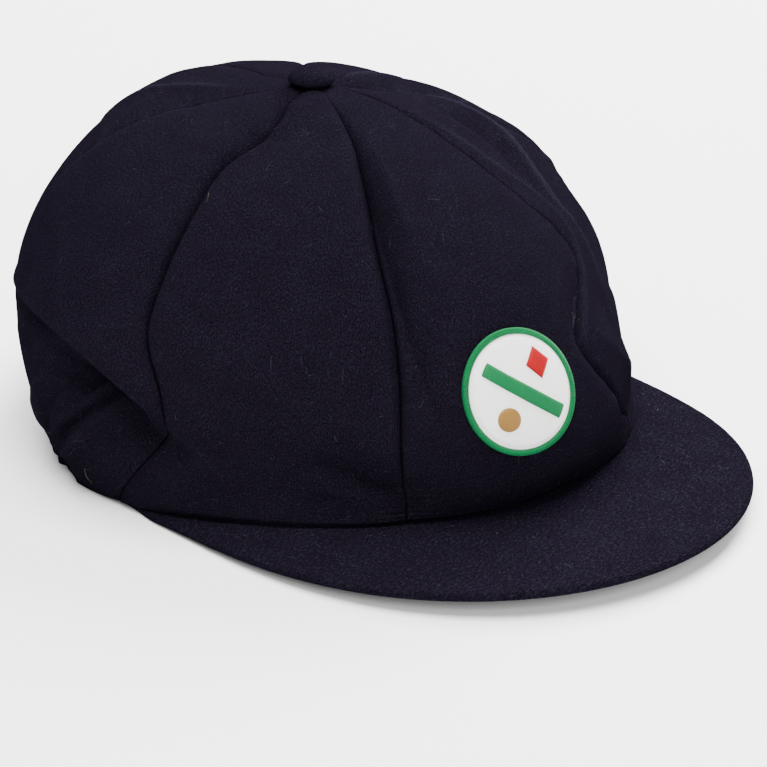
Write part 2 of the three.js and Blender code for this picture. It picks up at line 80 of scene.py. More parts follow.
# The plain model's origin is under the middle of the cap. The crown's own centre is found from the button.
low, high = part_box("button")
CENTRE = np.array([(low[0] + high[0]) / 2, (low[1] + high[1]) / 2 - BUTTON_BACKSET * METRE, 0.0])
print("crown's centre in metres:", CENTRE.round(5))

# %% [markdown]
# ## The crown's wall in five sections
#
# A real crown is cut flat and takes its shape when it is sewn and worn. Here five upright sections, from
# front to back, describe the shape it has taken. Each is two curves that meet on the widest line: the cloth
# rises over the head above it and tucks in to the hem below it. A smooth curve through the five rows gives
# every section between.

# %% Sections
SECTION_NAMES = ("angle", "lift", "bulge", "widest", "crest", "shoulder", "fold", "flare", "rise")
SECTIONS = np.array([
    (0, 0.09, 0.05, 0.2, 0.61, 0.52, 0.35, 0.6, 0.4),
    (45, 0.068, -0.055, 0.19, 0.61, 0.53, 0.35, 0.6, 0.4),
    (90, 0.004, 0.054, 0.31, 0.56, 0.53, 0.35, 0.5, 0.4),
    (135, 0.008, 0.105, 0.42, 0.59, 0.56, 0.25, 0.15, 0.45),
    (180, -0.006, 0.25, 0.39, 0.62, 0.58, 0.25, 0.1, 0.45),
])
WIDEST_SHARE = 0.66


def wrapped(angle):
    """The same angle between -180 and 180 degrees."""
    return (np.asarray(angle) + 180) % 360 - 180


def through(places, values, x):
    """A cubic between rows, whose slope at each row is that of the line through its two neighbours."""
    places, values, x = np.asarray(places, float), np.asarray(values, float), np.asarray(x, float)
    last = len(places) - 1
    k = np.clip(np.searchsorted(places, x) - 1, 0, last - 1)
    before, after = np.maximum(np.arange(last + 1) - 1, 0), np.minimum(np.arange(last + 1) + 1, last)
    slope = (values[after] - values[before]) / (places[after] - places[before])
    step = places[k + 1] - places[k]
    u = (x - places[k]) / step
    return (values[k] * (1 + 2 * u) * (1 - u) ** 2 + values[k + 1] * u * u * (3 - 2 * u)
            + step * slope[k] * u * (1 - u) ** 2 - step * slope[k + 1] * u * u * (1 - u))


def bezier(a, b, c, d, u):
    """The cubic curve that leaves a towards b and reaches d from c."""
    return a * (1 - u) ** 3 + 3 * b * u * (1 - u) ** 2 + 3 * c * u * u * (1 - u) + d * u ** 3


# The rows go on past both ends as their own mirror image.
mirrored = np.vstack([SECTIONS[1], SECTIONS, SECTIONS[-2]])
mirrored[0, 0], mirrored[-1, 0] = -SECTIONS[1, 0], 360 - SECTIONS[-2, 0]


def section(name, angle):
    """One column of the table at an angle."""
    return through(mirrored[:, 0], mirrored[:, SECTION_NAMES.index(name)], np.abs(wrapped(angle)))


print("bulge at the side, in mm:", (section("bulge", 90.0) * OPENING_SIDE).round(1))

# %% [markdown]
# ## The smooth crown
#
# First comes the crown with no seam and no fold, as if it were blown up from inside. Everything else is
# moved in or out from this surface, along its own outward direction.

# %% Smooth crown


def hem_radius(angle):
    """Half an ellipse in front and half a shorter one behind, both as wide as the opening."""
    forward, aside = np.cos(angle * DEGREE), np.sin(angle * DEGREE)
    length = np.where(forward > 0, OPENING_FRONT, OPENING_BACK)
    return 1 / np.hypot(forward / length, aside / OPENING_SIDE)


def hem_height(angle):
    """The lift column in crown heights, never below the table."""
    return np.maximum(section("lift", angle), 0) * CROWN_HEIGHT


def smooth_crown(angle, share):
    """Radius and height follow one cubic curve down to the widest line and a second one down to the hem.

    The radius is laid out round the crown's centre, which moves back to the button as the radius shrinks.
    """
    angle, share = np.broadcast_arrays(np.asarray(angle, float), np.asarray(share, float))
    at = {name: section(name, angle) for name in SECTION_NAMES[1:]}
    hem = hem_radius(angle)
    wide = hem + at["bulge"] * OPENING_SIDE
    low, middle = hem_height(angle), at["widest"] * CROWN_HEIGHT
    u = np.minimum(share / WIDEST_SHARE, 1)
    w = np.maximum((share - WIDEST_SHARE) / (1 - WIDEST_SHARE), 0)
    above = share <= WIDEST_SHARE
    over = bezier(0, at["crest"] * wide, wide, wide, u)
    under = bezier(wide, wide, hem + at["flare"] * (wide - hem), hem, w)
    top = bezier(CROWN_HEIGHT, CROWN_HEIGHT, middle + at["shoulder"] * (CROWN_HEIGHT - middle), middle, u)
    skirt = bezier(middle, middle - at["fold"] * (middle - low), low + at["rise"] * (middle - low), low, w)
    radius, height = np.where(above, over, under), np.where(above, top, skirt)
    back = np.where(above, BUTTON_BACKSET * (1 - (over / wide) ** 2), 0)
    return np.stack([radius * np.sin(angle * DEGREE), back - radius * np.cos(angle * DEGREE), height], -1)


def crown_directions(angle, share):
    """Outward and downward unit directions, from the differences between near places on the smooth crown."""
    down = smooth_crown(angle, np.minimum(share + 0.004, 1)) - smooth_crown(angle, share - 0.004)
    along = smooth_crown(angle + 0.5, share) - smooth_crown(angle - 0.5, share)
    outward = np.cross(down, along)
    return (outward / np.linalg.norm(outward, axis=-1, keepdims=True),
            down / np.linalg.norm(down, axis=-1, keepdims=True))


print("crown's top and front hem in mm:", smooth_crown([0.0, 0.0], [0.0, 1.0]).round(1).tolist())

# %% [markdown]
# ## Seams, folds and lips
#
# A seam pulls the cloth down into a narrow valley with one bank often steeper than the other, because the
# slack cloth leans over it. A fold is a ridge or a hollow along a path. A lip is a step along a path, where
# baggy cloth hangs over the part that is drawn in below it. All are kept as rows of a table, so that each
# fold of the photographed cap can be found, read and changed by its name.

# %% Seams, folds and lips
SEAM_SHARES = (0, 0.05, 0.1, 0.15, 0.2, 0.3, 0.4, 0.5, 0.6, 0.7, 0.85, 1)
SEAMS = {  # name: angles, depths in crown heights, then the widths of the right and left bank
    "back_right": ((-165, -174, -179, -181, -181, -178, -172, -166, -162, -160, -160, -160.6),
                   (0.004, 0.008, 0.01, 0.012, 0.014, 0.016, 0.014, 0.012, 0.012, 0.014, 0.01, 0.006),
                   0.03, 0.03),
    "right_back": ((-122, -128, -131, -132, -132, -130, -128, -123, -120, -119, -120, -121.8),
                   (0.004, 0.014, 0.022, 0.029, 0.034, 0.04, 0.034, 0.02, 0.012, 0.014, 0.01, 0.006),
                   0.055, 0.022),
    "side_right": ((-66, -73, -65.5, -70.5, -76.5, -76, -75.8, -75, -69, -71, -75.5, -81),
                   (0.004, 0.024, 0.05, 0.06, 0.056, 0.044, 0.034, 0.024, 0.016, 0.012, 0.01, 0.006),
                   0.036, 0.016),
    "front_right": ((-9, -12.5, -15.5, -18.5, -21, -24, -24.5, -25.3, -26, -25.5, -25.2, -25),
                    (0.004, 0.014, 0.022, 0.026, 0.03, 0.036, 0.036, 0.03, 0.018, 0.009, 0.008, 0.005),
                    0.014, 0.05),
    "front_left": ((40, 36, 31, 27, 24, 24, 27, 13, 20, 27, 30, 28),
                   (0.004, 0.009, 0.012, 0.01, 0.009, 0.01, 0.018, 0.042, 0.03, 0.016, 0.01, 0.006),
                   0.012, 0.013),
    "side_left": ((68, 74, 78, 81, 84, 83, 80, 78, 77, 78, 80, 83),
                  (0.004, 0.03, 0.045, 0.048, 0.04, 0.016, 0.01, 0.012, 0.012, 0.012, 0.01, 0.006),
                  0.035, 0.045),
    "left_back": ((114, 114, 114, 113.5, 113, 113, 114, 115, 117, 119, 120, 121.8),
                  (0.004, 0.014, 0.022, 0.026, 0.028, 0.022, 0.018, 0.014, 0.012, 0.014, 0.01, 0.006),
                  0.045, 0.045),
    "back_left": ((150, 148, 146, 146, 147, 150, 153, 156, 158, 159, 160, 160.6),
                  (0.004, 0.008, 0.01, 0.012, 0.014, 0.016, 0.016, 0.012, 0.012, 0.014, 0.01, 0.006),
                  0.03, 0.03),
}
PANELS = ("crown_back_right", "crown_side_right", "crown_front_right", "crown_front",
          "crown_front_left", "crown_side_left", "crown_back_left", "crown_back")

FOLDS = {  # name: places along the path as (angle, share), then width and height in crown heights
    "right tuck": (((-101, 0.645), (-86, 0.635), (-64, 0.7)), 0.07, -0.04),
    "left tuck": (((118, 0.68), (94, 0.645), (72, 0.7)), 0.07, -0.03),
    "slope below the right tuck": (((-66, 0.66), (-60, 0.72), (-55, 0.82)), 0.05, 0.012),
    "nose of the front right panel": (((-52, 0.05), (-57, 0.09), (-62, 0.14)), 0.036, 0.022),
    "hollow beside the front right seam":
        (((-20, 0.14), (-22.5, 0.3), (-22.5, 0.42), (-20, 0.58)), 0.034, -0.034),
    "crest beside the front right seam": (((-9, 0.1), (-14, 0.2), (-15.5, 0.3), (-13.5, 0.42)), 0.04, 0.013),
    "crest beside the front left seam":
        (((33, 0.06), (32, 0.15), (29, 0.25), (34, 0.355), (25, 0.435), (16, 0.48)), 0.03, 0.01),
    "crest across the front left panel":
        (((74, 0.15), (63, 0.25), (45, 0.335), (34, 0.42), (27, 0.54)), 0.03, 0.026),
    "hollow between the crests": (((60, 0.14), (53, 0.23), (44, 0.3), (37, 0.38)), 0.032, -0.024),
    "hollow beyond the crests": (((88, 0.26), (70, 0.33), (52, 0.4), (42, 0.52)), 0.06, -0.028),
    "flat above the left tuck": (((77, 0.41), (63, 0.5), (48, 0.57)), 0.07, -0.026),
    "puff of the side left panel": (((88, 0.32), (82, 0.38), (76, 0.46)), 0.05, 0.012),
    "pinch": (((24, 0.42), (13, 0.475), (14, 0.53), (20, 0.62)), 0.03, -0.022),
    "crest below the pinch": (((17, 0.49), (24, 0.555), (33, 0.63), (41, 0.73)), 0.034, 0.012),
    "crest beyond the pinch": (((30, 0.5), (29, 0.6), (33, 0.7)), 0.04, 0.012),
    "dimple above the hem": (((-45, 0.63), (-34, 0.65), (-26, 0.71)), 0.032, -0.03),
    "crest below the dimple": (((-44, 0.7), (-35, 0.72), (-28, 0.78)), 0.03, 0.01),
    "crest above the right back seam":
        (((-147, 0.1), (-151, 0.18), (-155, 0.27), (-152, 0.36)), 0.035, 0.014),
    "puff behind the button": (((178, 0.08), (-175, 0.22), (-164, 0.4)), 0.28, 0.018),
    "puff of the right back panel": (((-150, 0.2), (-130, 0.34), (-112, 0.46)), 0.16, 0.02),
    "puff left of the button": (((98, 0.05), (103, 0.1), (98, 0.18)), 0.06, 0.014),
    "hollow under the right lip": (((-98, 0.6), (-88, 0.6), (-78, 0.625), (-70, 0.69)), 0.045, -0.046),
    "first right pleat": (((-95, 0.55), (-97, 0.63), (-101, 0.73), (-104, 0.86), (-105, 1.0)), 0.017, 0.021),
    "second right pleat": (((-91, 0.6), (-94, 0.67), (-99, 0.78), (-104, 0.92), (-107, 1.02)), 0.02, -0.028),
    "third right pleat": (((-83, 0.6), (-87, 0.66), (-91, 0.74), (-98, 0.87), (-104, 1.02)), 0.014, 0.03),
    "fourth right pleat": (((-83, 0.62), (-88, 0.71), (-92, 0.78), (-98, 0.88), (-102, 1.02)), 0.013, -0.034),
    "sixth right pleat": (((-79, 0.61), (-83, 0.67), (-87, 0.76), (-92, 0.86), (-99, 0.97)), 0.017, 0.028),
    "seventh right pleat": (((-77, 0.66), (-81, 0.76), (-87, 0.88)), 0.018, -0.01),
    "nip at the right back hem": (((-94, 0.97), (-102, 0.98), (-112, 0.97)), 0.07, -0.024),
    "fifth right pleat": (((-103, 0.6), (-106, 0.72), (-110, 0.9)), 0.03, -0.006),
    "first left pleat": (((95, 0.6), (100, 0.76), (98, 0.96)), 0.045, 0.022),
    "second left pleat": (((84, 0.63), (90, 0.76), (92, 0.92)), 0.035, -0.014),
    "right back pleat": (((-140, 0.62), (-137, 0.78), (-142, 0.97)), 0.05, -0.03),
    "left back pleat": (((138, 0.62), (141, 0.78), (136, 0.97)), 0.05, -0.03),
}
LIPS = {  # name: places along the path, then reach, height, edge and drop in crown heights
    "lip over the right tuck": (((-124, 0.585), (-108, 0.535), (-93, 0.52), (-77, 0.565), (-60, 0.655)),
                                0.12, 0.034, 0.036, 0.06),
    "lip over the left tuck": (((66, 0.64), (80, 0.55), (96, 0.525), (124, 0.58)), 0.12, 0.026, 0.036, 0.055),
    "lip over the back tuck": (((146, 0.59), (180, 0.56), (214, 0.59)), 0.12, 0.012, 0.04, 0.03),
}
FOLD_CREST = 1.4  # exponent of a fold's profile: a bell at 2, a sharp edge at 1
GATHER_COUNT, GATHER_HEIGHT = 24, 0.009
GATHER_START, GATHER_FADE = 85, 35  # degrees from the front, and over how many they grow
FOLD_STEPS = 16
TIP_RISE, TIP_REACH = 0.024, 0.09


def rise_between(low, high, x):
    """0 below low, 1 above high and a smooth step between."""
    u = np.clip((x - low) / (high - low), 0, 1)
    return u * u * (3 - 2 * u)


def near_path(places, share, point):
    """Distance to a path, above it negative and below it positive, and a strength that fades at its ends."""
    u = np.linspace(0, 1, FOLD_STEPS + 1)
    at = np.linspace(0, 1, len(places))
    angles = places[0][0] + np.cumsum([0] + [wrapped(b[0] - a[0]) for a, b in zip(places, places[1:])])
    shares = through(at, [place[1] for place in places], u)
    path = smooth_crown(through(at, angles, u), shares)
    strengths = np.sin(np.pi * u) ** 0.6
    nearest, strength, level = np.full(point.shape[:-1], np.inf), np.zeros(point.shape[:-1]), 0.0
    for i in range(FOLD_STEPS):
        along, offset = path[i + 1] - path[i], point - path[i]
        v = np.clip(offset @ along / (along @ along), 0, 1)
        distance = np.linalg.norm(offset - v[..., None] * along, axis=-1)
        closer = distance < nearest
        strength = np.where(closer, strengths[i] * (1 - v) + strengths[i + 1] * v, strength)
        level = np.where(closer, shares[i] * (1 - v) + shares[i + 1] * v, level)
        nearest = np.where(closer, distance, nearest)
    return np.where(share < level, -nearest, nearest) / CROWN_HEIGHT, strength


def seam_angle(name, share):
    return through(SEAM_SHARES, SEAMS[name][0], share)


def seam_valleys(angle, share, point):
    """Depths that fade away from each seam. Where valleys meet their fourth powers add: the deepest rules."""
    radius = np.hypot(point[..., 0], point[..., 1] - BUTTON_BACKSET * (1 - share) ** 2)
    powers = np.zeros(radius.shape)
    for name, (_, depths, right, left) in SEAMS.items():
        aside = wrapped(angle - seam_angle(name, share)) * DEGREE * radius / CROWN_HEIGHT
        bank = np.where(aside < 0, right, left)
        powers += (through(SEAM_SHARES, depths, share) * np.exp(-np.abs(aside) / bank)) ** 4
    return powers ** 0.25


def relief(angle, share, point):
    """How far the cloth is moved outwards and how far it leans down, both in millimetres."""
    height, lean = -seam_valleys(angle, share, point), np.zeros(point.shape[:-1])
    settled = rise_between(0, 0.08, share)
    for places, width, crest in FOLDS.values():
        distance, strength = near_path(places, share, point)
        height += crest * settled * strength * np.exp(-(np.abs(distance) / width) ** FOLD_CREST)
    for places, reach, step, edge, drop in LIPS.values():
        distance, strength = near_path(places, share, point)
        height -= step * strength * np.tanh(2 * distance / edge - 1.4) * np.exp(-np.abs(distance) / reach)
        lean += drop * strength * np.exp(-(distance / edge) ** 2)
    behind = rise_between(GATHER_START, GATHER_START + GATHER_FADE, np.abs(wrapped(angle)))
    drawn_in = behind * rise_between(0.68, 0.92, share)
    height += GATHER_HEIGHT * drawn_in * np.cos(GATHER_COUNT * angle * DEGREE)
    height += TIP_RISE * np.exp(-(share / TIP_REACH) ** 2)
    return height * CROWN_HEIGHT, lean * CROWN_HEIGHT


print("seams:", len(SEAMS), "folds:", len(FOLDS), "lips:", len(LIPS))

# %% [markdown]
# ## Slack in the cloth
#
# Between the named folds real cloth is never quite even. Adding many faint waves, each with its own
# direction and length, gives soft lumps with no pattern to the eye. Their directions come from a seeded
# generator, so the cap is the same each time. Close to a seam the stitches pull at even distances, so there
# the cloth puckers.

# %% Slack and puckers
chance = np.random.default_rng(11)
WAVES = 36
wave_length = chance.uniform(16, 60, WAVES)
wave_way = chance.normal(size=(WAVES, 3))
wave_way *= (2 * np.pi / wave_length / np.linalg.norm(wave_way, axis=1))[:, None]
wave_start = chance.uniform(0, 2 * np.pi, WAVES)
PUCKER = 0.22  # height of a pucker beside a seam
PUCKER_REACH = 4.0
SEAM_EDGE = 2.4  # radius of the cloth's edge at a deep seam
HEM_ROLL = 2.2  # how far the folded edge of the hem turns inwards


def slack(point):
    """A sum of faint waves through space, the long ones higher than the short ones."""
    return (np.sin(point @ wave_way.T + wave_start) * wave_length / 60).sum(-1) * 0.09


def seam_edges(angle, share, point):
    """How far the cloth's rounded edges turn down into each seam: a quarter circle, less on shallow seams."""
    radius = np.hypot(point[..., 0], point[..., 1] - BUTTON_BACKSET * (1 - share) ** 2)
    drop = np.zeros(radius.shape)
    for name, (_, depths, _, _) in SEAMS.items():
        aside = np.abs(wrapped(angle - seam_angle(name, share))) * DEGREE * radius
        edge = SEAM_EDGE * np.clip(through(SEAM_SHARES, depths, share) / 0.03, 0.3, 1)
        drop = np.maximum(drop, edge * (1 - np.sqrt(1 - np.clip(1 - aside / edge, 0, 1) ** 2)))
    return drop * rise_between(0.02, 0.1, share)


def puckers(angle, share, point):
    """Waves along each seam, 7 to 9 mm long, which die away within a few millimetres of it."""
    radius = np.hypot(point[..., 0], point[..., 1])
    height = np.zeros(radius.shape)
    for k, name in enumerate(SEAMS):
        aside = wrapped(angle - seam_angle(name, share)) * DEGREE * radius
        down = share * CLOTH_LENGTH
        wave = np.sin(down * 0.78 + 2 * k) * np.sin(down * 0.13 + k) + 0.5 * np.sin(down * 1.31 + 5 * k)
        height += PUCKER * wave * np.exp(-np.abs(aside) / PUCKER_REACH) * (1 - np.exp(-np.abs(aside) / 1.2))
    return height * rise_between(0.05, 0.15, share)


def crown(angle, share, out=0.0):
    """The smooth crown moved outwards by its relief, its slack, its puckers and a given distance."""
    point = smooth_crown(angle, share)
    outward, downward = crown_directions(angle, share)
    level = np.where(share >= 1, point[..., 2], np.nan)
    height, lean = relief(angle, share, point)
    height = height + slack(point) + puckers(angle, share, point) - seam_edges(angle, share, point)
    in_front = 1 - 0.7 * rise_between(58, 80, np.abs(wrapped(angle)))
    rounded = HEM_ROLL * in_front * rise_between(0.95, 1.0, share) ** 2
    inner = np.asarray(out) < -CLOTH / 2
    point = point + (height + out + np.where(inner, 0.1, -1) * rounded)[..., None] * outward
    point = point + lean[..., None] * downward
    point[..., 2] = np.where(np.isnan(level), point[..., 2], level)
    point[..., 2] = np.maximum(point[..., 2], 0)
    return point


# %% [markdown]
# ## From numbers to a mesh
#
# Each piece of cloth is a closed sheet: an outer grid, an inner grid and a strip of faces round their
# edges. One helper joins such grids, and one puts the points and faces into Blender with their cloth
# coordinates. Those coordinates are millimetres along and across the cloth, so a weave keeps its size on
# every piece.

# %% Mesh helpers


def sheet_faces(columns, rows, ring=False):
    """Four-cornered faces of two grids, the second turned over, and of the strips that join their edges."""
    width = columns if ring else columns + 1
    i, j = np.meshgrid(np.arange(columns), np.arange(rows), indexing="ij")
    i, j = i.ravel(), j.ravel()

    def at(i, j, face):
        return (1 - face) * width * (rows + 1) + j * width + i % width

    def quads(*corners):
        return np.stack(np.broadcast_arrays(*corners), -1)

    a, b = np.arange(columns), np.arange(rows)
    parts = [quads(at(i, j, 1), at(i, j + 1, 1), at(i + 1, j + 1, 1), at(i + 1, j, 1)),
             quads(at(i, j, 0), at(i + 1, j, 0), at(i + 1, j + 1, 0), at(i, j + 1, 0)),
             quads(at(a, 0, 1), at(a + 1, 0, 1), at(a + 1, 0, 0), at(a, 0, 0)),
             quads(at(a, rows, 1), at(a, rows, 0), at(a + 1, rows, 0), at(a + 1, rows, 1))]
    if not ring:
        parts += [quads(at(0, b, 1), at(0, b, 0), at(0, b + 1, 0), at(0, b + 1, 1)),
                  quads(at(columns, b, 1), at(columns, b + 1, 1), at(columns, b + 1, 0), at(columns, b, 0))]
    return np.concatenate(parts)


def make_piece(name, points, faces, cloth=None, finish=None, crest=None):
    """A mesh object from points in millimetres round the crown's centre and faces with four corners each."""
    mesh = bpy.data.meshes.new(name)
    mesh.vertices.add(len(points))
    mesh.vertices.foreach_set("co", (points * METRE + CENTRE).ravel())
    mesh.loops.add(faces.size)
    mesh.loops.foreach_set("vertex_index", faces.ravel())
    mesh.polygons.add(len(faces))
    mesh.polygons.foreach_set("loop_start", np.arange(0, faces.size, 4))
    mesh.polygons.foreach_set("use_smooth", np.ones(len(faces), bool))
    mesh.update(calc_edges=True)
    mesh.validate()
    if cloth is not None:
        layer = mesh.uv_layers.new(name="cloth")
        layer.data.foreach_set("uv", cloth[faces].ravel())
    # crest is the painted highlight on bends, 0 to 1, which lightens the wool's colour.
    if crest is not None:
        mesh.attributes.new("crest", "FLOAT", "POINT").data.foreach_set("value", crest)
    piece = bpy.data.objects.new(name, mesh)
    bpy.context.scene.collection.objects.link(piece)
    if finish:
        mesh.materials.append(finish)
    return piece


def grid(columns, rows):
    """Columns and rows from 0 to 1, row after row, as two flat arrays."""
    v, u = np.meshgrid(np.linspace(0, 1, rows + 1), np.linspace(0, 1, columns + 1), indexing="ij")
    return u.ravel(), v.ravel()


# %% [markdown]
# ## Writing finishes as sums
#
# Shader maths is easier to read as sums than as boxes and wires. A small class wraps a socket, so that 1 -
# mask or fibre * 0.3 makes the Math node it needs. Any other node comes from one method that takes its
# kind, its sockets and its settings.

# %% Finish helpers


class Value:
    """A socket of a finish that takes part in arithmetic."""

    def __init__(self, finish, socket):
        self.finish, self.socket = finish, socket

    def maths(self, operation, a, b):
        return self.finish.node("ShaderNodeMath", {0: a, 1: b}, operation=operation)

    def __add__(self, other):
        return self.maths("ADD", self, other)

    def __sub__(self, other):
        return self.maths("SUBTRACT", self, other)

    def __rsub__(self, other):
        return self.maths("SUBTRACT", other, self)

    def __mul__(self, other):
        return self.maths("MULTIPLY", self, other)

    __radd__, __rmul__ = __add__, __mul__

    def larger(self, other):
        return self.maths("MAXIMUM", self, other)

    def between(self, low, high):
        """0 where the value is below low, 1 above high."""
        return self.finish.node("ShaderNodeMapRange", {0: self, 1: low, 2: high},
                                interpolation_type="SMOOTHSTEP")


class Finish:
    """A material whose nodes are made by calls."""

    def __init__(self, name):
        self.material = bpy.data.materials.new(name)
        self.material.use_nodes = True
        self.tree = self.material.node_tree
        self.shader = self.tree.nodes["Principled BSDF"]

    def node(self, kind, sockets=None, output=0, **settings):
        made = self.tree.nodes.new(kind)
        for setting, value in settings.items():
            setattr(made, setting, value)
        self.join(made, sockets or {})
        return Value(self, made.outputs[output])

    def join(self, node, sockets):
        for place, value in sockets.items():
            if isinstance(value, Value):
                self.tree.links.new(value.socket, node.inputs[place])
            else:
                node.inputs[place].default_value = value

    def surface(self, **sockets):
        """Sets the shader's sockets: Base_Color becomes Base Color."""
        self.join(self.shader, {name.replace("_", " "): value for name, value in sockets.items()})

    def mix(self, factor, a, b):
        """A colour between a and b."""
        return self.node("ShaderNodeMix", {0: factor, 6: a, 7: b}, output=2, data_type="RGBA")

    def noise(self, place, scale, detail=2.0, roughness=0.5, distortion=0.0):
        return self.node("ShaderNodeTexNoise", {"Vector": place, "Scale": scale, "Detail": detail,
                                                "Roughness": roughness, "Distortion": distortion})

    def stretched(self, place, turn, along, across, shift=0.0):
        """Cloth coordinates turned by an angle and scaled, so that noise on them becomes streaks."""
        return self.node("ShaderNodeMapping", {"Vector": place, "Rotation": (0, 0, turn * DEGREE),
                                               "Scale": (along, across, 1), "Location": (shift, shift, 0)},
                         vector_type="TEXTURE")


def colour(red, green, blue):
    """A colour from the display values of a paint chart, 0 to 255, as the linear values Blender uses."""
    values = np.array([red, green, blue]) / 255
    linear = np.where(values <= 0.04045, values / 12.92, ((values + 0.055) / 1.055) ** 2.4)
    return (*linear.tolist(), 1.0)


def scaled(tone, factor):
    """The same colour lighter or darker."""
    return (*(min(c * factor, 1.0) for c in tone[:3]), 1.0)


# %% [markdown]
# ## Milled wool
#
# Wool for such a cap is woven, then shrunk and brushed until a short nap hides the weave. Up close it is a
# felt of fine fibres with many paler ones among them. Where the cloth bends sharply the nap shines in light
# that grazes it; here that sheen is a painted highlight, pale edges on the folds painted into the colour.
# The fibres here are noise stretched in several directions, and each panel brings the sharpness of its
# bends as an attribute, which sets the painted highlight.

# %% Wool
FIBRE_TURNS = (0, 12, -14, 32, -36, 68, 90)  # the ways of the fibres, in degrees from the lie of the nap


def wool(name, base, pale, lie, coarse=1.0):
    """Short streaks in seven directions make fibres, the palest of them flecks. lie is the way of the nap."""
    finish = Finish(name)
    cloth = finish.node("ShaderNodeUVMap", uv_map="cloth")
    fibres = None
    for k, turn in enumerate(FIBRE_TURNS):
        place = finish.stretched(cloth, lie + turn, 0.6 * coarse, 0.19 * coarse, 13.7 * k)
        streak = finish.noise(place, 1.0, detail=1.0, roughness=0.6, distortion=0.3).between(0.5, 0.78)
        streak = streak * (1.0 - 0.06 * k)
        fibres = streak if fibres is None else fibres.larger(streak)
    felt = finish.stretched(cloth, lie, 0.62 * coarse, 0.3 * coarse)
    grain = finish.noise(felt, 1.0, detail=2.0, roughness=0.7)
    patches = finish.noise(cloth, 0.09, detail=3.0, roughness=0.55)
    flecked = finish.stretched(cloth, lie + 12, 0.9, 0.26, 71.0)
    fleck = finish.noise(flecked, 1.0, detail=1.0).between(0.66, 0.8)
    warm = finish.noise(cloth, 2.2, detail=2.0).between(0.35, 0.65)
    shade = fibres * 0.6 + grain * 1.5 + patches * 0.3 - 1.0
    tone = finish.mix(shade.between(0.0, 1.0), base, pale)
    tone = finish.mix(warm * 0.25, tone, colour(40, 28, 49))
    tone = finish.mix(fleck * 0.5, tone, scaled(pale, 2.6))
    # Painted highlight: where the crest attribute says the cloth bends sharply, the colour is lightened
    # towards pale, broken up by the grain, in place of the nap's sheen in grazing light.
    painted_highlight = finish.node("ShaderNodeAttribute", output=2, attribute_name="crest")
    tone = finish.mix(painted_highlight * (shade.between(0.0, 1.0) * 0.5 + 0.2), tone, scaled(pale, 2.4))
    height = fibres * 0.6 + grain * 0.9
    bump = finish.node("ShaderNodeBump", {"Strength": 0.75, "Distance": 0.0003, "Height": height})
    finish.surface(Base_Color=tone, Roughness=0.96, Normal=bump, Sheen_Weight=0.003, Sheen_Roughness=0.35,
                   Sheen_Tint=colour(168, 160, 205), Specular_IOR_Level=0.0)
    return finish.material


crown_wool = wool("crown wool", colour(6, 6, 8), colour(36, 35, 45), 90, 1.3)
peak_wool = wool("peak wool", colour(6, 6, 8), colour(37, 36, 47), 10, 2.2)
print("wool finishes:", crown_wool.name, "and", peak_wool.name)

# %% [markdown]
# ## Crown panels
#
# Each panel runs from its own seam to the next. Its columns stand closer together near the seams, where the
# cloth turns down into the valley, and its cut edges meet the next panel's with no more than a thread's
# width between.

# %% Crown panels
PANEL_COLUMNS, PANEL_ROWS = 96, 230
VISIBLE_GAP = 0.08
EVEN = 0.2  # how much of the columns' spacing is even, the rest being closer towards the seams
CLOTH_SHIFT = np.array([37.0, 53.0])  # keeps panels from showing the same part of the wool's pattern
CREST_STEPS, CREST_CHORD = 3, 0.7  # grid steps to the ends of a chord, and half its least length in mm
CREST_LOW, CREST_HIGH = 0.05, 0.4  # curvatures, per mm, at which the painted highlight on a bend begins and is full
DIMMEST_HIGHLIGHT_ANGLE = -50  # where round the crown the painted highlight on bends is dimmest, in degrees
TIP_SHARE = TIP_HOLE / (3 * SECTIONS[2, 4] * OPENING_SIDE / WIDEST_SHARE)


def crests(net):
    """How sharply a grid of points bends outwards, from 0 to 1: its curvatures along and across, added.

    Each curvature is twice the height over the chord between two near points, over half the chord squared.
    The result sets the painted highlight on the bends.
    """
    outward = np.cross(np.gradient(net, axis=0), np.gradient(net, axis=1))
    outward /= np.linalg.norm(outward, axis=-1, keepdims=True)
    bend = np.zeros(net.shape[:2])
    for axis in (0, 1):
        at = np.arange(net.shape[axis])
        before = np.take(net, np.maximum(at - CREST_STEPS, 0), axis)
        after = np.take(net, np.minimum(at + CREST_STEPS, at[-1]), axis)
        half = np.maximum(np.linalg.norm(after - before, axis=-1) / 2, CREST_CHORD)
        bend += 2 * ((net - (before + after) / 2) * outward).sum(-1) / half ** 2
    return np.clip((bend - CREST_LOW) / (CREST_HIGH - CREST_LOW), 0, 1)


